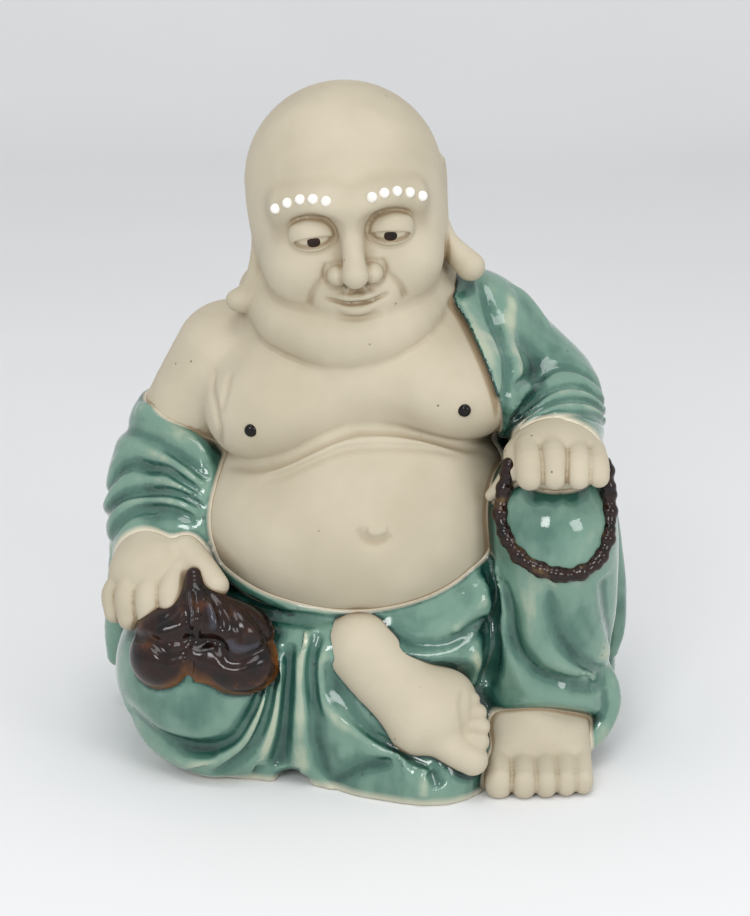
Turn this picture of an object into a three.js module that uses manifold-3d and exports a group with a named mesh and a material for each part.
// Seated budai figure in one piece of fired clay: bare head, chest, hands and feet,
// a draped robe, a tied sack under the right hand and a string of beads on the left knee.
// Millimetres, +Z up, the figure faces -Y, its own left is +X, the middle of the foot is the origin.

import * as THREE from 'three';
import Module from 'manifold-3d';

// Driving sizes
const FIGURE_HEIGHT = 250;      // table to crown
const HEIGHT_PARTS = 251;       // the carving is set out in shares of the height
const PART = FIGURE_HEIGHT / HEIGHT_PARTS;

// Shares of the height, in parts
const HEAD_AT = [-4.6, -8, 203];
const HEAD_TURN = [5, -4.5, 2];
const BELLY = [61, 59.5, 42];
const FOLD_DEPTH = 2.6;
const FOLD_WIDTH = 2.0;
const BACK_FOLDS = 6;
const BEAD_COUNT = 46;
const BEAD_RADIUS = 2.1;
const STRING_HALF_WIDTH = 20.8;
const STRING_HALF_HEIGHT = 20.5;
const BROW_BEADS = 5;
const BROW_BEAD_RADIUS = 1.9;
const CLOTH = 3.0;

// Fineness of the faceted solid
const GRID_STEP = 2.0;
const COARSE = 4;
const FACE_COUNT = 9700;
const THINNING_PASSES = 14;
const SAW_ALLOWANCE = 8;
const FAR = 40;
const PAD = 16;
const BOX_LOW = [-112, -100, -14];
const BOX_HIGH = [112, 90, 262];

// Ways to shape: every form is a function that gives the distance from a place to its surface

function turned(turn) {
  const angles = turn.map(THREE.MathUtils.degToRad);
  const m = new THREE.Matrix4().makeRotationFromEuler(new THREE.Euler(...angles, 'ZYX'));
  const e = m.elements;
  return [e[0], e[1], e[2], e[4], e[5], e[6], e[8], e[9], e[10]];
}

function egg(centre, radii, turn) {
  const [cx, cy, cz] = centre;
  const [rx, ry, rz] = radii;
  const reach = Math.max(...radii) + PAD;
  const m = turn ? turned(turn) : null;
  return (x, y, z) => {
    let a = x - cx;
    let b = y - cy;
    let c = z - cz;
    if (Math.abs(a) > reach || Math.abs(b) > reach || Math.abs(c) > reach) return FAR;
    if (m) {
      const [p, q, r] = [a, b, c];
      a = m[0] * p + m[1] * q + m[2] * r;
      b = m[3] * p + m[4] * q + m[5] * r;
      c = m[6] * p + m[7] * q + m[8] * r;
    }
    a /= rx;
    b /= ry;
    c /= rz;
    const k0 = Math.sqrt(a * a + b * b + c * c);
    a /= rx;
    b /= ry;
    c /= rz;
    const k1 = Math.max(Math.sqrt(a * a + b * b + c * c), 1e-6);
    return k0 * (k0 - 1) / k1;
  };
}

// a smooth curve through the points, any number of values to a point
function bend(points, steps = 4) {
  if (points.length < 3) return points;
  const last = points.length - 1;
  const start = points[0].map((v, k) => 2 * v - points[1][k]);
  const end = points[last].map((v, k) => 2 * v - points[last - 1][k]);
  const e = [start, ...points, end];
  const out = [];
  for (let i = 0; i < last; i += 1) {
    for (let j = 0; j < steps; j += 1) {
      const t = j / steps;
      out.push(e[i].map((a, k) => {
        const [b, c, d] = [e[i + 1][k], e[i + 2][k], e[i + 3][k]];
        const square = 2 * a - 5 * b + 4 * c - d;
        const cube = 3 * b - a - 3 * c + d;
        return 0.5 * (2 * b + (c - a) * t + square * t * t + cube * t ** 3);
      }));
    }
  }
  out.push(points[last]);
  return out;
}

function boxOf(points, pad) {
  const low = [0, 1, 2].map((k) => Math.min(...points.map((p) => p[k])) - pad[k]);
  const high = [0, 1, 2].map((k) => Math.max(...points.map((p) => p[k])) + pad[k]);
  return [...low, ...high];
}

// a rounded tube through points, with a radius at each
function limb(points, radii) {
  const path = bend(points.map((p, i) => [...p, radii[i]]));
  const reach = Math.max(...radii) + PAD;
  const box = boxOf(path, [reach, reach, reach]);
  return (x, y, z) => {
    if (x < box[0] || y < box[1] || z < box[2]) return FAR;
    if (x > box[3] || y > box[4] || z > box[5]) return FAR;
    let best = 1e9;
    for (let i = 0; i + 1 < path.length; i += 1) {
      const p = path[i];
      const q = path[i + 1];
      const [ux, uy, uz] = [q[0] - p[0], q[1] - p[1], q[2] - p[2]];
      const [vx, vy, vz] = [x - p[0], y - p[1], z - p[2]];
      const length = Math.max(ux * ux + uy * uy + uz * uz, 1e-9);
      const t = Math.min(Math.max((ux * vx + uy * vy + uz * vz) / length, 0), 1);
      const gap = Math.hypot(vx - t * ux, vy - t * uy, vz - t * uz);
      best = Math.min(best, gap - (p[3] + (q[3] - p[3]) * t));
    }
    return best;
  };
}

function softMin(a, b, k) {
  const h = Math.max(k - Math.abs(a - b), 0) / k;
  return Math.min(a, b) - h * h * k * 0.25;
}

function softMax(a, b, k) {
  return -softMin(-a, -b, k);
}

// forms joined with a soft fillet
function join(soft, ...forms) {
  return (x, y, z) => {
    let d = forms[0](x, y, z);
    for (let i = 1; i < forms.length; i += 1) {
      d = softMin(d, forms[i](x, y, z), soft);
    }
    return d;
  };
}

function keep(soft, form, limit) {
  return (x, y, z) => softMax(form(x, y, z), limit(x, y, z), soft);
}

function carve(soft, form, tool) {
  return (x, y, z) => softMax(form(x, y, z), -tool(x, y, z), soft);
}

// height over a plane through a point, sloping by dz/dx and dz/dy
function above(at, slope) {
  const size = Math.hypot(1, slope[0], slope[1]);
  return (x, y, z) => (z - at[2] - slope[0] * (x - at[0]) - slope[1] * (y - at[1])) / size;
}

// depth of a crease along a curve: a bell, or a sharp valley, that fades at both ends
function crease(points, width, height, sharp = false, weight = 0.5) {
  const reach = 3.2;
  const span = width * reach;
  const path = bend(points).map((p) => [p[0], p[1] * weight, p[2]]);
  const box = boxOf(path, [span, span, span]);
  const run = [0];
  for (let i = 0; i + 1 < path.length; i += 1) {
    const [p, q] = [path[i], path[i + 1]];
    run.push(run[i] + Math.hypot(q[0] - p[0], q[1] - p[1], q[2] - p[2]));
  }
  const total = run[run.length - 1];
  return (x, yFull, z) => {
    const y = yFull * weight;
    if (x < box[0] || y < box[1] || z < box[2]) return 0;
    if (x > box[3] || y > box[4] || z > box[5]) return 0;
    let best = 1e9;
    let along = 0;
    for (let i = 0; i + 1 < path.length; i += 1) {
      const p = path[i];
      const q = path[i + 1];
      const [ux, uy, uz] = [q[0] - p[0], q[1] - p[1], q[2] - p[2]];
      const [vx, vy, vz] = [x - p[0], y - p[1], z - p[2]];
      const length = Math.max(ux * ux + uy * uy + uz * uz, 1e-9);
      const t = Math.min(Math.max((ux * vx + uy * vy + uz * vz) / length, 0), 1);
      const gap = Math.hypot(vx - t * ux, vy - t * uy, vz - t * uz);
      if (gap < best) {
        best = gap;
        along = run[i] + t * (run[i + 1] - run[i]);
      }
    }
    const near = Math.min(Math.max(Math.min(along, total - along) / (0.22 * total), 0), 1);
    const s = best / width;
    const fall = sharp ? Math.exp(-s) * (1 - Math.min(s / reach, 1)) : Math.exp(-s * s);
    return height * fall * near * (2 - near);
  };
}

const groove = (points, width, depth) => crease(points, width, -depth, true);
const ridge = (points, width, height) => crease(points, width, height);

// a form with its surface raised by all the reliefs
function dressed(form, reliefs) {
  return (x, y, z) => {
    let d = form(x, y, z);
    if (d > PAD) return d;
    for (const relief of reliefs) d -= relief(x, y, z);
    return d;
  };
}

// the same number of places at equal steps along a curve
function even(points, count) {
  const curve = new THREE.CatmullRomCurve3(points.map((p) => new THREE.Vector3(...p)));
  return curve.getSpacedPoints(count - 1).map((v) => [v.x, v.y, v.z]);
}

// a groove along each line and a rounded crest midway between neighbours
function pleats(lines, width, depth, crest, broad = 1.6) {
  const out = lines.map((line) => groove(line, width, depth));
  for (let i = 0; i + 1 < lines.length; i += 1) {
    const a = even(lines[i], 6);
    const b = even(lines[i + 1], 6);
    const middle = a.map((p, k) => p.map((v, j) => (v + b[k][j]) / 2));
    out.push(ridge(middle, width * broad, crest));
  }
  return out;
}

// Head, in its own frame: +X to the figure's left, -Y forward, +Z to the crown

const headTurn = turned(HEAD_TURN);

function fromHead(q) {
  return [0, 1, 2].map((k) => HEAD_AT[k] + headTurn[k] * q[0] + headTurn[3 + k] * q[1]
    + headTurn[6 + k] * q[2]);
}

function inHeadFrame(form, reach) {
  const m = headTurn;
  return (x, y, z) => {
    const [a, b, c] = [x - HEAD_AT[0], y - HEAD_AT[1], z - HEAD_AT[2]];
    if (Math.abs(a) > reach || Math.abs(b) > reach || Math.abs(c) > reach) return FAR;
    return form(
      m[0] * a + m[1] * b + m[2] * c,
      m[3] * a + m[4] * b + m[5] * c,
      m[6] * a + m[7] * b + m[8] * c,
    );
  };
}

function makeHead() {
  let head = join(14, egg([-0.8, 7, 12], [36.6, 41, 35.5]), egg([0, -3, -12], [34.2, 34, 32]));
  head = join(12, head, egg([0, -20, -33], [20, 15, 12]));
  const browLine = [[-24, -27, 12], [-12, -34.5, 14], [0, -36.5, 12], [12, -34.5, 14], [24, -27, 12]];
  head = join(10, head, limb(browLine, [3, 4, 4, 4, 3]));
  for (const side of [-1, 1]) {
    head = carve(6, head, egg([side * 13.5, -37.5, 4.5], [8.5, 5.5, 5.2], [0, 0, side * 12]));
    head = join(8, head, egg([side * 17.5, -22.5, -11], [14, 13, 12]));
  }
  const nose = [[0, -35, 10], [0, -37.5, 2], [0, -41.5, -6], [0, -43.5, -10.5]];
  head = join(5, head, limb(nose, [3.2, 3.1, 4.4, 5.0]));
  for (const side of [-1, 1]) {
    head = join(2, head, egg([side * 6.6, -38.6, -11.2], [3.9, 4.6, 3.6]));
    head = join(1.4, head, egg([side * 13.5, -31.2, 3.0], [7.6, 6.2, 5.6]));
  }
  head = join(8, head, egg([0, -31, -22], [13, 8, 8]));
  const upperLip = [[-9.5, -36, -20.2], [-4, -39.3, -19.8], [0, -39.3, -20.6], [4, -39.3, -19.8],
    [9.5, -36, -20.2]];
  const lowerLip = [[-8.5, -36, -21.8], [-3, -38.6, -23.8], [3, -38.6, -23.8], [8.5, -36, -21.8]];
  head = join(1.2, head, limb(upperLip, [0.8, 2, 1.7, 2, 0.8]));
  head = join(1.2, head, limb(lowerLip, [0.8, 2.5, 2.5, 0.8]));
  const mouth = [[-11.5, -36, -20], [-5, -39, -21.4], [0, -40, -21.7], [5, -39, -21.4], [11.5, -36, -20]];
  const lines = [crease(mouth, 0.9, -1.2, true, 0.3)];
  for (const s of [-1, 1]) {
    lines.push(
      crease([[s * 6.6, -35, 2.2], [s * 10, -37, 4.6], [s * 14, -37, 5.4], [s * 18, -36, 4.4],
        [s * 21, -33, 2.2]], 0.8, 0.7, false, 0.3),
      crease([[s * 7, -36, 6.6], [s * 13, -37, 8.8], [s * 20, -34, 7]], 0.9, -0.5, true, 0.3),
      crease([[s * 9.6, -36, -6.5], [s * 11, -36, -11], [s * 9, -36, -14.5]], 1, -0.9, true, 0.3),
      crease([[s * 11.5, -34, -12.5], [s * 15.5, -33, -18], [s * 16.5, -31, -24]], 1.8, -0.8, false, 0.3),
    );
  }
  head = dressed(head, lines);
  const chinRoll = [[-30, 2, -27], [-20, -16, -37], [0, -24, -41], [20, -16, -37], [30, 2, -27]];
  head = join(5, head, limb(chinRoll, [9, 9.5, 10, 9.5, 9]));
  return inHeadFrame(head, 62);
}

function makeEars() {
  const sides = [
    [-1, [-37.5, -3, -26], [-43, -8, -33]],
    [1, [37.5, -2, -20], [42.5, -9, -24.5]],
  ];
  const ears = sides.map(([s, low, tip]) => {
    const base = limb([[s * 31, 8, 8], [s * 32, 7, -4], [s * 32.5, 3, -14]], [5.5, 5, 3.6]);
    const hollow = egg([s * 35.5, 3, 3], [3, 5.2, 8.5], [0, 0, s * 25]);
    const rim = limb([[s * 32.5, -1.5, 8], [s * 33.8, 1, 15], [s * 35, 7, 15.5], [s * 35.6, 11, 7],
      [s * 34.6, 9, -5], [s * 33.5, 4, -12]], [1.6, 1.8, 2, 2, 2, 2]);
    const lobe = limb([[s * 33.5, 4, -9], [s * 34.6, 1, -16], low, tip], [3, 3.4, 4.4, 6]);
    return join(3, join(1.6, carve(2, base, hollow), rim), lobe);
  });
  return inHeadFrame(join(0.1, ...ears), 66);
}

// Chest, belly and the bare arm

function makeTorsoMass() {
  const core = egg([-1, 4, 126], [56, 44, 52]);
  const shoulders = limb([[-52, 4, 141], [-30, 3, 152], [0, 2, 160], [26, 3, 162], [46, 4, 153]],
    [19, 20, 22, 20, 19]);
  const neck = limb([[-2, -2, 146], [-3, -5, 180]], [40, 33]);
  const right = egg([-30, -20, 136], [29, 32, 22], [0, -14, 8]);
  const left = egg([30, -21, 143], [31, 32, 21], [0, 10, -8]);
  const middle = egg([0, -18, 146], [24, 28, 20]);
  return join(9, join(14, core, shoulders, neck), right, left, middle);
}

function makeTorso(mass) {
  const belly = join(8, egg([-2, -12, 90], BELLY), egg([2, -14, 106], [50, 48, 34]));
  return dressed(join(2.5, mass, belly), [
    groove([[-53, -34, 110], [-37, -51, 112], [-20, -59, 118], [-3, -60, 127], [5, -60, 127],
      [22, -58, 120], [37, -52, 116], [49, -38, 114]], 1.3, 1.0),
    ridge([[-36, -51, 114], [-20, -58, 120], [-3, -58, 129], [5, -58, 129], [22, -57, 122],
      [37, -50, 118]], 2, 0.5),
    ridge([[-1, -71, 99.5], [2, -72, 97.4], [6, -72, 97], [10, -71.5, 98.6]], 1.6, 1.1),
    crease([[1.5, -72, 100.4], [5.5, -72, 99.6], [9.5, -72, 100.8]], 1.1, -1.2),
  ]);
}

// Hands and feet: a palm or sole and a loop of fingers or toes

function makeHandOnSack() {
  let hand = join(8, egg([-76.5, -43, 75.5], [19, 17, 12.5], [24, 12, 0]),
    limb([[-80, -22, 80], [-76, -42, 77]], [14, 11.5]));
  const fingers = [
    [[-89, -45, 74], [-93, -50, 67], [-91.5, -53, 61]],
    [[-82, -50, 78], [-86, -56, 70], [-85, -58, 60.5]],
    [[-74, -52, 79], [-77.5, -59, 71], [-77, -61.5, 61]],
    [[-67, -52, 79], [-68.5, -60, 72], [-68, -61, 65]],
  ];
  for (const finger of fingers) hand = join(1.6, hand, limb(finger, [4.4, 5.0, 4.6]));
  return join(2.5, hand, limb([[-66, -46, 82], [-58, -54, 79], [-51.5, -59, 74]], [5.6, 5, 4.4]));
}

function makeHandOnKnee() {
  let hand = join(8, egg([69.5, -50, 123], [17.5, 14, 10.5], [28, 0, 0]),
    limb([[71, -34, 124], [70, -50, 122]], [13, 11]));
  const fingers = [[56.5, 5.9], [67, 5.4], [76.2, 5], [84.2, 4.4]];
  for (const [x, r] of fingers) {
    const knuckle = [x, -56, 128.5 - Math.abs(x - 69) * 0.17];
    hand = join(1.4, hand, limb([knuckle, [x, -62.5, 124], [x, -66.5, 118]], [r, r, r * 0.95]));
  }
  return join(2.5, hand, limb([[54, -52, 121], [50, -58, 116], [45.5, -61, 110]], [5.2, 4.5, 3.2]));
}

function makeFootOnGround() {
  let foot = join(8, limb([[66, -36, 30], [65, -52, 21], [64.5, -64, 12]], [18, 15, 12]),
    egg([65, -58, 8], [19.5, 20, 13]));
  const toes = [[51.5, 6.2, -72], [60.5, 5.2, -74.5], [68.3, 4.8, -74], [75.4, 4.4, -72.5], [82, 4.2, -70]];
  for (const [x, r, y] of toes) {
    const root = [x + (66 - x) * 0.08, -62, 14];
    foot = join(1.6, foot, limb([root, [x, y + 2, 9], [x, y - 1, r - 1]], [r * 0.9, r, r]));
  }
  return foot;
}

function makeFootSoleForward() {
  let foot = join(7, egg([-1.5, -61, 54.5], [12, 12, 12.5], [0, 30, 0]),
    limb([[-2, -62, 54], [10, -65, 46], [21, -67, 38], [29, -69, 30]], [11.5, 11.5, 12, 12.5]),
    limb([[20, -71, 24], [33, -69, 38]], [8.5, 8.5]));
  foot = join(4, foot, limb([[26, -74, 23], [34, -78, 18.5], [41, -80, 16]], [7.5, 6.2, 6]));
  const toes = [[40.5, -76, 22.5, 4.3], [41.8, -74.5, 27.5, 3.9], [41, -73, 32.2, 3.6], [39, -71.5, 36.8, 3.4]];
  for (const [x, y, z, r] of toes) {
    foot = join(1.2, foot, limb([[x - 7, y + 2, z + 1.5], [x, y, z]], [r, r]));
  }
  return foot;
}

function makeFlesh(torsoMass, head) {
  const arm = limb([[-50, 3, 146], [-64, 3, 124], [-78, 0, 98]], [22, 20, 18]);
  let body = join(4, join(5, makeTorso(torsoMass), arm), head);
  body = join(1.2, body, makeEars());
  body = dressed(body, [
    groove([[-56, -24, 147], [-53, -36, 140], [-51, -43, 133], [-53, -38, 124], [-55, -30, 117]], 1.8, 2),
    groove([[-61, -20, 144], [-58, -28, 137], [-58, -30, 128]], 1.8, 1.2),
  ]);
  body = join(0.6, body, egg([-39.5, -49, 132], [2.3, 2, 2.3]), egg([37, -52.5, 140], [2.3, 2, 2.3]));
  const ends = [makeHandOnSack(), makeHandOnKnee(), makeFootOnGround(), makeFootSoleForward()];
  return join(0.1, body, ...ends);
}

// Robe

function makeRobeMass(torsoMass) {
  let back = join(22, egg([2, 6, 22], [94, 66, 60]), egg([1, 15, 85], [74, 50, 70]),
    egg([6, 13, 138], [54, 37, 44], [0, 10, 0]));
  back = keep(2.5, back, above([0, 0, 163], [0.395, 0.1]));

  let sleeve = limb([[-60, 3, 128], [-72, 2, 112], [-79, -4, 94], [-77, -26, 76]], [22.5, 21, 20, 17.5]);
  sleeve = keep(2, sleeve, above([-83, 2, 131], [-0.38, 0.124]));
  sleeve = keep(3, sleeve, (x, y, z) => -(y + 35 - 0.35 * (z - 85)) / 1.06);
  const tail = join(8, limb([[-84, 2, 80], [-90, 2, 56], [-95, 2, 36], [-97, 2, 24]], [14, 10.5, 7.5, 5]),
    limb([[-72, 12, 92], [-80, 16, 60], [-84, 16, 24]], [12, 15, 14]));
  let robe = join(5, back, join(6, sleeve, tail));

  let wrap = keep(2, (x, y, z) => torsoMass(x, y, z) - CLOTH, (x, y, z) => -(x + 0.34 * z - 93.5) / 1.056);
  wrap = keep(2.5, wrap, above([33, 0, 180], [0.25, 0.35]));
  let farSleeve = limb([[44, 4, 160], [62, 4, 143], [73, -6, 133], [72, -34, 121]], [18.5, 18.5, 18, 16.5]);
  farSleeve = keep(3, farSleeve, (x, y, z) => -(y + 46 - 0.2 * (z - 125)) / 1.02);
  robe = join(5, join(3, robe, wrap), farSleeve);

  let leg = limb([[52, 10, 55], [66, -30, 92], [70, -45, 93], [71, -41, 66], [69, -39, 40], [68, -38, 20]],
    [28, 25, 24, 24, 24, 26]);
  leg = keep(2, leg, (x, y, z) => -(z - 28 + 0.8 * (y + 60)) / 1.28);
  const drop = limb([[70, 4, 100], [82, 6, 66], [86, 4, 34], [87, -8, 12]], [14, 16, 14, 12]);
  robe = join(8, join(6, robe, leg), drop);

  const knee = join(10, egg([-60, -38, 33], [33, 35, 33]), limb([[-30, 0, 45], [-58, -30, 38]], [34, 28]));
  const shin = limb([[-50, -42, 26], [-10, -48, 30], [20, -50, 22]], [24, 24, 18]);
  robe = join(8, robe, knee, shin);
  const hem = limb([[-56, -30, 7], [-34, -40, 7], [-10, -46, 7], [12, -63, 6], [27, -70, 6], [40, -64, 5]],
    [24, 18.5, 17, 17, 15, 10]);
  robe = join(6, robe, hem);
  robe = join(10, robe, limb([[-12, -54, 22], [14, -60, 24], [34, -60, 14]], [16, 15, 13]));
  robe = join(8, robe, egg([0, -32, 50], [58, 40, 24]));
  return join(3, robe, limb([[6, -58, 65], [30, -60, 61], [46, -52, 75]], [4, 6.5, 6]));
}

// where a line along Y through x, z first meets a form, from the front or from the back
function meet(form, x, z, from = -1) {
  let y = from < 0 ? BOX_LOW[1] : BOX_HIGH[1];
  for (let i = 0; i < 80; i += 1) {
    y -= from * Math.min(Math.max(0.7 * form(x, y, z), -1), 6);
  }
  return y;
}

// lines that run down the back from the covered shoulder and spread over the seat
function backLines(mass) {
  const lines = [];
  for (let k = 0; k < BACK_FOLDS; k += 1) {
    const t = k / (BACK_FOLDS - 1);
    const line = [[50 - 10 * t, 160 - 3 * t], [46 - 48 * t, 118 - 3 * t],
      [42 - 90 * t, 74 - 6 * t], [38 - 118 * t, 22]];
    lines.push(line.map(([x, z]) => [x, meet(mass, x, z, 1), z]));
  }
  return lines;
}

function robeFolds(mass) {
  const [w, h] = [FOLD_WIDTH, FOLD_DEPTH];
  return [
    // rings pushed up the sleeve over the sack hand
    ...pleats([
      [[-90, -6, 122], [-74, -19, 117], [-65, -18, 109], [-57, -14, 101]],
      [[-98, -6, 99], [-89, -16, 107], [-80, -19, 109], [-70, -19, 106], [-60, -15, 96]],
      [[-98, -16, 82], [-92, -24, 94], [-84, -26, 100], [-75, -24, 101], [-66, -21, 97], [-58, -16, 89]],
      [[-98, -16, 70], [-90, -31, 87], [-82, -31, 94], [-74, -30, 95], [-65, -27, 91], [-57, -18, 82]],
    ], w * 0.85, h * 0.9, h * 0.42),
    groove([[-98, -12, 90], [-93, -18, 99], [-87, -18, 105]], w * 0.6, h * 0.55),
    ridge([[-88, -8, 127], [-76, -17, 122], [-66, -19, 115], [-57, -17, 108]], w * 1.3, h * 0.45),
    // lapel and the sleeve over the knee hand
    groove([[43, -6, 181], [47, -15, 169], [51, -27, 158], [52, -41, 150], [52, -46, 141], [51, -40, 126]],
      w * 0.9, h * 1.25),
    ridge([[37, -12, 177], [40, -25, 167], [44, -39, 158], [48, -46, 150], [50, -48, 141]],
      w * 1.3, h * 0.5),
    ridge([[55, -6, 172], [55, -20, 160], [57, -36, 149]], w * 1.5, h * 0.7),
    ...pleats([
      [[53, -42, 143], [62, -24, 146], [72, -16, 148], [84, -8, 148]],
      [[53, -42, 133], [61, -34, 138], [69, -28, 142], [78, -25, 143], [88, -20, 137]],
      [[56, -38, 127], [64, -38, 135], [73, -36, 138], [80, -32, 139], [89, -24, 134]],
    ], w * 0.8, h * 0.8, h * 0.55),
    // cloth hanging from the raised knee and sweeping to its hem
    groove([[47, -52, 82], [47, -52, 62], [46, -56, 50], [45, -53, 30]], w * 0.9, h * 0.85),
    ...pleats([
      [[49, -52, 86], [50, -54, 64], [51, -56, 48], [52, -56, 34]],
      [[54, -60, 74], [57, -60, 54], [63, -62, 45], [73, -63, 38], [84, -58, 34]],
      [[70, -67, 76], [73, -65, 59], [79, -62, 49], [90, -52, 38]],
      [[88, -58, 80], [91, -54, 62], [95, -44, 46]],
    ], w * 0.95, h * 0.75, h * 0.6, 1.8),
    crease([[66, -62, 38], [76, -62, 36], [86, -56, 32]], w * 1.5, -h),
    // folds that fall round the knee on the ground and gather before the foot
    ...pleats([
      [[-86, -56, 30], [-78, -64, 21], [-66, -68, 16], [-54, -69, 19], [-44, -69, 27], [-37, -68, 37],
        [-35, -66, 46]],
      [[-58, -60, 3], [-48, -64, 11], [-39, -68, 21], [-33, -70, 33], [-31, -67, 44]],
      [[-32, -62, 3], [-27, -68, 18], [-25, -71, 35], [-26, -66, 58]],
      [[-15, -62, 66], [-18, -69, 50], [-17, -72, 33], [-13, -66, 2]],
    ], w, h, h * 0.75),
    crease([[-72, -66, 17], [-62, -67, 15], [-52, -68, 18]], w * 1.8, -h * 0.85),
    ridge([[-12, -67, 60], [-16, -71, 45], [-9, -74, 30], [1, -75, 22], [16, -80, 17]], w * 1.1, h * 0.7),
    groove([[-9, -72, 48], [-4, -72, 36], [4, -75, 26], [15, -79, 20]], w * 0.9, h * 0.7),
    groove([[-9, -68, 1], [0, -75, 10], [12, -79, 15], [22, -80, 17]], w, h * 1.15),
    ridge([[22, -79, 18], [24, -84, 11], [21, -85, 3]], w * 1.2, h * 0.8),
    crease([[24, -85, 5], [28, -84, 10], [33, -82, 15]], w * 1.2, -h * 1.3),
    // waist edge and the turned flap beside the leg
    ridge([[-56, -40, 72], [-41, -51, 66], [-26, -58, 65], [-7, -62, 67], [14, -62, 69], [30, -60, 69]],
      w * 0.9, h * 0.4),
    groove([[10, -67, 59], [25, -67, 55], [35, -64, 56], [46, -55, 62]], w * 0.8, h * 0.8),
    ridge([[40, -62, 57], [44, -58, 47], [42, -55, 34]], w * 1.2, h * 0.5),
    // folds that fan over the back from the covered shoulder
    ...pleats(backLines(mass), w * 1.2, h * 0.9, h * 0.7),
    // sides of the seat
    ...pleats([
      [[-88, 18, 72], [-93, 12, 44], [-96, 4, 14]],
      [[-80, 34, 70], [-86, 32, 42], [-88, 28, 12]],
    ], w, h * 0.6, h * 0.45),
    ...pleats([
      [[92, -22, 84], [96, -18, 50], [98, -14, 16]],
      [[90, 4, 90], [97, 6, 52], [97, 10, 14]],
      [[80, 30, 84], [88, 32, 50], [90, 34, 12]],
    ], w, h * 0.7, h * 0.45),
  ];
}

// Sack, string of beads and brow beads

function makeSack() {
  let sack = join(4, egg([-69, -61, 52], [14.5, 12, 15.5], [0, 8, 0]),
    egg([-46, -62, 50], [16, 12, 14.5], [0, -8, 0]));
  sack = join(5, sack, egg([-58, -59, 62], [19, 10, 13]));
  sack = join(6, sack, limb([[-61, -56, 86], [-60, -59, 78], [-58, -60, 68]], [3, 7, 11]));
  const w = FOLD_WIDTH * 0.75;
  const h = FOLD_DEPTH;
  return dressed(sack, [
    ridge([[-61, -66, 82], [-61, -70, 71], [-62, -72, 60]], w, h * 0.55),
    ridge([[-58, -66, 80], [-56, -69, 74], [-51, -70, 69], [-48, -71, 60]], w, h * 0.6),
    groove([[-60, -67, 79], [-58, -71, 69], [-57, -71, 62]], w, h * 0.7),
    groove([[-55, -66, 77], [-46, -67, 68], [-38, -69, 60]], w, h * 0.7),
    groove([[-64, -66, 75], [-71, -68, 68], [-79, -67, 61]], w, h * 0.6),
    groove([[-83, -64, 58], [-75, -70, 58], [-69, -72, 55], [-63, -72, 56.5]], w, h * 1.1),
    ridge([[-81, -66, 62], [-74, -71, 62], [-68, -72, 59]], w * 1.2, h * 0.45),
    groove([[-61, -72, 58.5], [-56, -72, 61], [-52, -72, 60], [-50, -73, 55.5], [-46, -74, 52],
      [-40, -73, 54], [-32, -68, 55]], w, h * 1.15),
    ridge([[-60, -73, 54], [-54, -74, 53], [-48, -75, 48], [-40, -74, 49], [-34, -69, 51]], w * 1.2, h * 0.5),
    groove([[-62, -72, 56], [-62, -71, 48], [-62, -66, 38]], w, h * 1.15),
  ]);
}

function makeBeads(robe) {
  const beads = [];
  const start = THREE.MathUtils.degToRad(62);
  const sweep = THREE.MathUtils.degToRad(-304);
  for (let i = 0; i < BEAD_COUNT; i += 1) {
    const a = start + sweep * i / (BEAD_COUNT - 1);
    const x = 69.6 + STRING_HALF_WIDTH * Math.cos(a);
    const z = 104.5 + STRING_HALF_HEIGHT * Math.sin(a);
    const r = BEAD_RADIUS * (1 + 0.1 * Math.sin(i * 2.4));
    beads.push(egg([x, meet(robe, x, z) - 0.3, z], [r, r, r]));
  }
  return join(0.8, ...beads);
}

function makeBrows(head) {
  const beads = [];
  for (const side of [-1, 1]) {
    for (let i = 0; i < BROW_BEADS; i += 1) {
      const t = i / (BROW_BEADS - 1);
      const across = side * (8 + 18 * t);
      const up = 14.5 + 3.6 * Math.sin(Math.PI * (0.15 + 0.75 * t)) - 3 * t;
      let forward = -60;
      for (let k = 0; k < 60; k += 1) {
        const d = head(...fromHead([across, forward, up]));
        forward += 0.8 * Math.min(Math.max(d, -1), 6);
      }
      const r = BROW_BEAD_RADIUS;
      beads.push(egg(fromHead([across, forward, up]), [r, r, r]));
    }
  }
  return join(0.1, ...beads);
}

function makeFigure() {
  const torsoMass = makeTorsoMass();
  const head = makeHead();
  const robeMass = makeRobeMass(torsoMass);
  const robe = dressed(robeMass, robeFolds(robeMass));
  const forms = [makeFlesh(torsoMass, head), robe, makeSack(), makeBeads(robe), makeBrows(head)];
  return keep(1, join(0.4, ...forms), (x, y, z) => -z - SAW_ALLOWANCE);
}

// Faceting: sample the figure near its surface, net it, settle it and thin it

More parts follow.
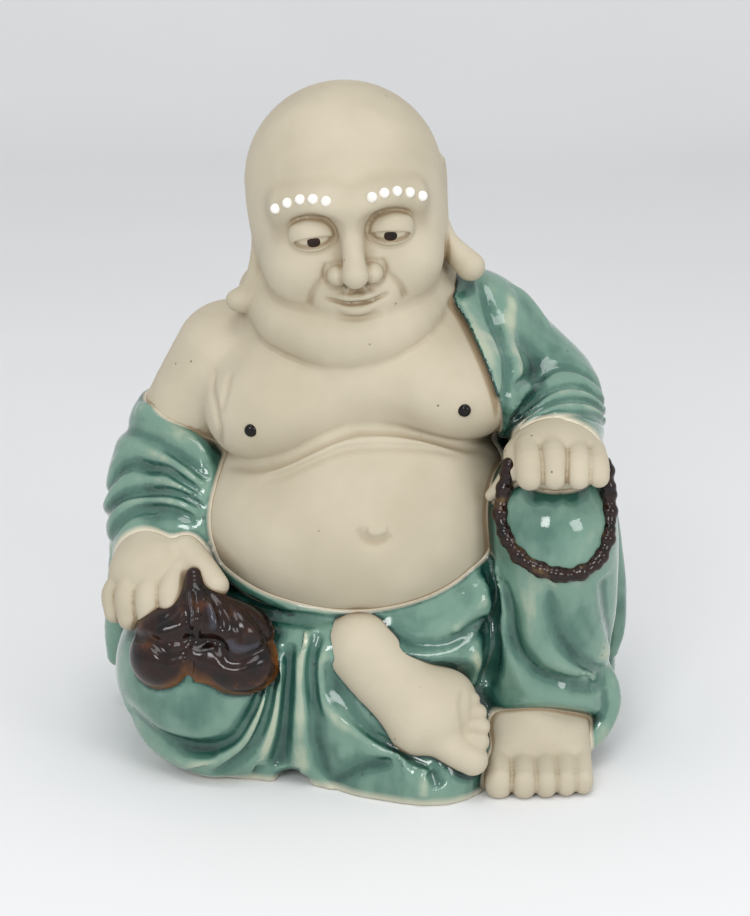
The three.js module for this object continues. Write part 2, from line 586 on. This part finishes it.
function sample(form) {
  const size = GRID_STEP * COARSE;
  const cells = [0, 1, 2].map((k) => Math.ceil((BOX_HIGH[k] - BOX_LOW[k]) / size));
  const [nx, ny, nz] = cells.map((c) => c * COARSE + 1);
  const values = new Float32Array(nx * ny * nz).fill(FAR);
  const known = new Uint8Array(nx * ny * nz);
  const place = (k, i) => BOX_LOW[k] + i * GRID_STEP;
  const reach = size * 1.3 + 2;
  for (let a = 0; a < cells[0]; a += 1) {
    for (let b = 0; b < cells[1]; b += 1) {
      for (let c = 0; c < cells[2]; c += 1) {
        const [i0, j0, k0] = [a * COARSE, b * COARSE, c * COARSE];
        const half = COARSE / 2;
        const middle = form(place(0, i0 + half), place(1, j0 + half), place(2, k0 + half));
        const fine = Math.abs(middle) < reach;
        for (let i = i0; i <= i0 + COARSE; i += 1) {
          for (let j = j0; j <= j0 + COARSE; j += 1) {
            for (let k = k0; k <= k0 + COARSE; k += 1) {
              const at = (i * ny + j) * nz + k;
              if (known[at]) continue;
              if (fine) {
                values[at] = form(place(0, i), place(1, j), place(2, k));
                known[at] = 1;
              } else {
                values[at] = middle < 0 ? -FAR : FAR;
              }
            }
          }
        }
      }
    }
  }
  return { values, nx, ny, nz };
}

const CORNERS = [0, 1, 2, 3, 4, 5, 6, 7].map((n) => [n >> 2 & 1, n >> 1 & 1, n & 1]);
const CELL_EDGES = [];
for (let p = 0; p < 8; p += 1) {
  for (let q = p + 1; q < 8; q += 1) {
    const steps = [0, 1, 2].filter((k) => CORNERS[p][k] !== CORNERS[q][k]);
    if (steps.length === 1) CELL_EDGES.push([p, q]);
  }
}

// the corners of one sign hang together along the edges of the cell
function isWhole(mask) {
  const first = [0, 1, 2, 3, 4, 5, 6, 7].find((n) => mask >> n & 1);
  if (first === undefined) return true;
  let seen = 1 << first;
  for (let round = 0; round < 8; round += 1) {
    for (const [p, q] of CELL_EDGES) {
      const both = (mask >> p & 1) && (mask >> q & 1);
      if (both && ((seen >> p & 1) || (seen >> q & 1))) seen |= (1 << p) | (1 << q);
    }
  }
  return seen === mask;
}

function isCrossed(mask) {
  for (let axis = 0; axis < 3; axis += 1) {
    for (let side = 0; side < 2; side += 1) {
      const face = [0, 1, 2, 3, 4, 5, 6, 7].filter((n) => CORNERS[n][axis] === side);
      const on = face.filter((n) => mask >> n & 1);
      if (on.length !== 2) continue;
      const apart = [0, 1, 2].filter((k) => CORNERS[on[0]][k] !== CORNERS[on[1]][k]);
      if (apart.length === 2) return true;
    }
  }
  return false;
}

const CLEAN = Array.from({ length: 256 }, (_, mask) => isWhole(mask) && isWhole(255 - mask)
  && !isCrossed(mask));

// nudge the samples until every cell holds a single sheet of surface
function untangle(grid) {
  const { values, nx, ny, nz } = grid;
  const offsets = CORNERS.map(([i, j, k]) => (i * ny + j) * nz + k);
  for (let round = 0; round < 40; round += 1) {
    let changed = 0;
    for (let i = 0; i < nx - 1; i += 1) {
      for (let j = 0; j < ny - 1; j += 1) {
        for (let k = 0; k < nz - 1; k += 1) {
          const at = (i * ny + j) * nz + k;
          let mask = 0;
          for (let n = 0; n < 8; n += 1) if (values[at + offsets[n]] < 0) mask |= 1 << n;
          if (CLEAN[mask]) continue;
          let best = -1;
          for (let n = 0; n < 8; n += 1) {
            const v = values[at + offsets[n]];
            if (v < 0) continue;
            if (best < 0 || v < values[at + offsets[best]]) best = n;
          }
          values[at + offsets[best]] = -0.05;
          changed += 1;
        }
      }
    }
    if (changed === 0) return;
  }
}

function netSurface(grid) {
  const { values, nx, ny, nz } = grid;
  const offsets = CORNERS.map(([i, j, k]) => (i * ny + j) * nz + k);
  const number = new Int32Array(nx * ny * nz).fill(-1);
  const points = [];
  for (let i = 0; i < nx - 1; i += 1) {
    for (let j = 0; j < ny - 1; j += 1) {
      for (let k = 0; k < nz - 1; k += 1) {
        const at = (i * ny + j) * nz + k;
        let [x, y, z, count] = [0, 0, 0, 0];
        for (const [p, q] of CELL_EDGES) {
          const [vp, vq] = [values[at + offsets[p]], values[at + offsets[q]]];
          if (vp < 0 === vq < 0) continue;
          const t = vp / (vp - vq);
          x += CORNERS[p][0] + t * (CORNERS[q][0] - CORNERS[p][0]);
          y += CORNERS[p][1] + t * (CORNERS[q][1] - CORNERS[p][1]);
          z += CORNERS[p][2] + t * (CORNERS[q][2] - CORNERS[p][2]);
          count += 1;
        }
        if (count === 0) continue;
        number[at] = points.length;
        points.push([
          BOX_LOW[0] + (i + x / count) * GRID_STEP,
          BOX_LOW[1] + (j + y / count) * GRID_STEP,
          BOX_LOW[2] + (k + z / count) * GRID_STEP,
        ]);
      }
    }
  }
  const strides = [ny * nz, nz, 1];
  const faces = [];
  for (let i = 1; i < nx - 1; i += 1) {
    for (let j = 1; j < ny - 1; j += 1) {
      for (let k = 1; k < nz - 1; k += 1) {
        const at = (i * ny + j) * nz + k;
        for (let axis = 0; axis < 3; axis += 1) {
          const here = values[at] < 0;
          const next = values[at + strides[axis]] < 0;
          if (here === next) continue;
          const du = strides[(axis + 1) % 3];
          const dv = strides[(axis + 2) % 3];
          const quad = [at - du - dv, at - dv, at, at - du].map((n) => number[n]);
          if (next) quad.reverse();
          faces.push([quad[0], quad[1], quad[2]], [quad[0], quad[2], quad[3]]);
        }
      }
    }
  }
  return { points, faces };
}

// move every point along the slope of the distance until it lies on the surface
function settle(form, points, rounds = 1) {
  const e = 0.3;
  for (const p of points) {
    for (let round = 0; round < rounds; round += 1) {
      const d = form(p[0], p[1], p[2]);
      const g = [
        (form(p[0] + e, p[1], p[2]) - d) / e,
        (form(p[0], p[1] + e, p[2]) - d) / e,
        (form(p[0], p[1], p[2] + e) - d) / e,
      ];
      const size = Math.max(g[0] ** 2 + g[1] ** 2 + g[2] ** 2, 0.3);
      const limit = 0.5 * GRID_STEP;
      const step = Math.min(Math.max(-d / size, -limit), limit);
      for (let k = 0; k < 3; k += 1) p[k] += step * g[k];
    }
  }
}

// Thinning: fold the cheapest edge into one point, again and again

class Heap {
  constructor() {
    this.items = [];
  }

  push(item) {
    const a = this.items;
    a.push(item);
    let i = a.length - 1;
    while (i > 0) {
      const up = (i - 1) >> 1;
      if (a[up].cost <= a[i].cost) break;
      [a[up], a[i]] = [a[i], a[up]];
      i = up;
    }
  }

  pop() {
    const a = this.items;
    const top = a[0];
    const last = a.pop();
    if (a.length > 0) {
      a[0] = last;
      let i = 0;
      for (;;) {
        const [l, r] = [2 * i + 1, 2 * i + 2];
        let least = i;
        if (l < a.length && a[l].cost < a[least].cost) least = l;
        if (r < a.length && a[r].cost < a[least].cost) least = r;
        if (least === i) break;
        [a[least], a[i]] = [a[i], a[least]];
        i = least;
      }
    }
    return top;
  }
}

function cross(u, v) {
  return [u[1] * v[2] - u[2] * v[1], u[2] * v[0] - u[0] * v[2], u[0] * v[1] - u[1] * v[0]];
}

function minus(u, v) {
  return [u[0] - v[0], u[1] - v[1], u[2] - v[2]];
}

function normalOf(a, b, c) {
  const n = cross(minus(b, a), minus(c, a));
  const size = Math.hypot(...n);
  return { n: size > 0 ? n.map((v) => v / size) : [0, 0, 0], area: size / 2 };
}

// squared distance to the planes round a point, as the ten values of a symmetric form
function planeForm(n, d, weight) {
  const [a, b, c] = n;
  return [a * a, a * b, a * c, a * d, b * b, b * c, b * d, c * c, c * d, d * d].map((v) => v * weight);
}

function errorAt(q, p) {
  const [x, y, z] = p;
  return q[0] * x * x + 2 * q[1] * x * y + 2 * q[2] * x * z + 2 * q[3] * x + q[4] * y * y
    + 2 * q[5] * y * z + 2 * q[6] * y + q[7] * z * z + 2 * q[8] * z + q[9];
}

function bestPlace(q, a, b) {
  const det = q[0] * (q[4] * q[7] - q[5] * q[5]) - q[1] * (q[1] * q[7] - q[5] * q[2])
    + q[2] * (q[1] * q[5] - q[4] * q[2]);
  const middle = a.map((v, k) => (v + b[k]) / 2);
  const choices = [a, b, middle];
  if (Math.abs(det) > 1e-4) {
    const [r0, r1, r2] = [-q[3], -q[6], -q[8]];
    const x = (r0 * (q[4] * q[7] - q[5] * q[5]) - q[1] * (r1 * q[7] - q[5] * r2)
      + q[2] * (r1 * q[5] - q[4] * r2)) / det;
    const y = (q[0] * (r1 * q[7] - r2 * q[5]) - r0 * (q[1] * q[7] - q[5] * q[2])
      + q[2] * (q[1] * r2 - r1 * q[2])) / det;
    const z = (q[0] * (q[4] * r2 - q[5] * r1) - q[1] * (q[1] * r2 - r1 * q[2])
      + r0 * (q[1] * q[5] - q[4] * q[2])) / det;
    const span = Math.hypot(...minus(a, b));
    if (Math.hypot(...minus([x, y, z], middle)) < 2 * span) choices.push([x, y, z]);
  }
  let best = { cost: Infinity };
  for (const p of choices) {
    const cost = errorAt(q, p);
    if (cost < best.cost) best = { cost, p };
  }
  return best;
}

function thin(mesh, target) {
  const { points, faces } = mesh;
  const around = points.map(() => new Set());
  const forms = points.map(() => new Array(10).fill(0));
  const alive = faces.map(() => true);
  const stamp = new Int32Array(points.length);
  faces.forEach((face, f) => {
    const [a, b, c] = face.map((v) => points[v]);
    const { n, area } = normalOf(a, b, c);
    const plane = planeForm(n, -(n[0] * a[0] + n[1] * a[1] + n[2] * a[2]), area);
    for (const v of face) {
      around[v].add(f);
      for (let k = 0; k < 10; k += 1) forms[v][k] += plane[k];
    }
  });
  const heap = new Heap();
  const offer = (a, b) => {
    const q = forms[a].map((v, k) => v + forms[b][k]);
    const { cost, p } = bestPlace(q, points[a], points[b]);
    const length = Math.hypot(...minus(points[a], points[b]));
    heap.push({ cost: Math.max(cost, 0) + 1e-4 * length * length, p, a, b, sa: stamp[a], sb: stamp[b] });
  };
  const ringOf = (v) => {
    const ring = new Set();
    for (const f of around[v]) for (const w of faces[f]) if (w !== v) ring.add(w);
    return ring;
  };
  const spoils = (v, other, p) => {
    for (const f of around[v]) {
      if (faces[f].includes(other)) continue;
      const before = normalOf(...faces[f].map((w) => points[w]));
      const after = normalOf(...faces[f].map((w) => (w === v ? p : points[w])));
      const dot = before.n[0] * after.n[0] + before.n[1] * after.n[1] + before.n[2] * after.n[2];
      if (dot < 0.3) return true;
      const corners = faces[f].map((w) => (w === v ? p : points[w]));
      const longest = Math.max(...corners.map((c, k) => Math.hypot(...minus(c, corners[(k + 1) % 3]))));
      if (after.area < 0.02 * longest * longest) return true;
    }
    return false;
  };
  let left = faces.length;
  const share = (target / left) ** (1 / THINNING_PASSES);
  let goal = left;
  while (left > target) {
    if (heap.items.length === 0 || left <= goal) {
      if (goal === target && left > goal) break;
      goal = Math.max(target, Math.min(goal * share, left * share));
      heap.items = [];
      faces.forEach(([v, w, u], f) => {
        if (!alive[f]) return;
        if (v < w) offer(v, w);
        if (w < u) offer(w, u);
        if (u < v) offer(u, v);
      });
    }
    const { p, a, b, sa, sb } = heap.pop();
    if (stamp[a] !== sa || stamp[b] !== sb) continue;
    const ringA = ringOf(a);
    const ringB = ringOf(b);
    const shared = [...ringA].filter((v) => ringB.has(v));
    if (shared.length !== 2 || shared.some((v) => around[v].size <= 3)) continue;
    const isLid = (f) => faces[f].includes(shared[0]) && faces[f].includes(shared[1]);
    if ([...around[a]].some(isLid) && [...around[b]].some(isLid)) continue;
    if (spoils(a, b, p) || spoils(b, a, p)) continue;
    points[a] = p;
    for (const f of [...around[b]]) {
      if (faces[f].includes(a)) {
        alive[f] = false;
        for (const v of faces[f]) around[v].delete(f);
        left -= 1;
      } else {
        faces[f] = faces[f].map((v) => (v === b ? a : v));
        around[a].add(f);
      }
    }
    around[b].clear();
    for (let k = 0; k < 10; k += 1) forms[a][k] += forms[b][k];
    stamp[a] += 1;
    stamp[b] += 1;
    for (const v of ringOf(a)) offer(Math.min(a, v), Math.max(a, v));
  }
  const renumber = new Map();
  const kept = [];
  const out = [];
  faces.forEach((face, f) => {
    if (!alive[f]) return;
    out.push(face.map((v) => {
      if (!renumber.has(v)) {
        renumber.set(v, kept.length);
        kept.push(points[v]);
      }
      return renumber.get(v);
    }));
  });
  return { points: kept, faces: out };
}

// the biggest closed shell alone, without crumbs
function biggestShell(mesh) {
  const parent = mesh.points.map((_, i) => i);
  const find = (i) => {
    let r = i;
    while (parent[r] !== r) r = parent[r];
    while (parent[i] !== r) [parent[i], i] = [r, parent[i]];
    return r;
  };
  for (const [a, b, c] of mesh.faces) {
    parent[find(a)] = find(b);
    parent[find(b)] = find(c);
  }
  const counts = new Map();
  for (const [a] of mesh.faces) counts.set(find(a), (counts.get(find(a)) ?? 0) + 1);
  const main = [...counts].sort((p, q) => q[1] - p[1])[0][0];
  return { points: mesh.points, faces: mesh.faces.filter(([a]) => find(a) === main) };
}

// Solid: sawn flat where it stands on the table

const wasm = await Module();
wasm.setup();

function sawFlat(mesh) {
  const solid = new wasm.Manifold(new wasm.Mesh({
    numProp: 3,
    vertProperties: new Float32Array(mesh.points.flat().map((v) => v * PART)),
    triVerts: new Uint32Array(mesh.faces.flat()),
  }));
  const stood = solid.trimByPlane([0, 0, 1], 0);
  const parts = stood.decompose();
  const main = parts.sort((p, q) => q.volume() - p.volume())[0];
  const { numProp, vertProperties, triVerts } = main.getMesh();
  const positions = [];
  for (let i = 0; i < vertProperties.length; i += numProp) {
    positions.push(vertProperties[i], vertProperties[i + 1], vertProperties[i + 2]);
  }
  const geometry = new THREE.BufferGeometry();
  geometry.setAttribute('position', new THREE.Float32BufferAttribute(positions, 3));
  geometry.setIndex([...triVerts]);
  geometry.computeVertexNormals();
  return geometry;
}

const form = makeFigure();
const grid = sample(form);
untangle(grid);
const fine = biggestShell(netSurface(grid));
settle(form, fine.points);
const coarse = thin(fine, FACE_COUNT);

const clay = new THREE.MeshStandardMaterial({ color: 0xd9d0bb, roughness: 0.55, metalness: 0 });
const figure = new THREE.Mesh(sawFlat(coarse), clay);
figure.name = 'budai_figure';

const part = new THREE.Group();
part.name = 'budai';
part.add(figure);

export default part;
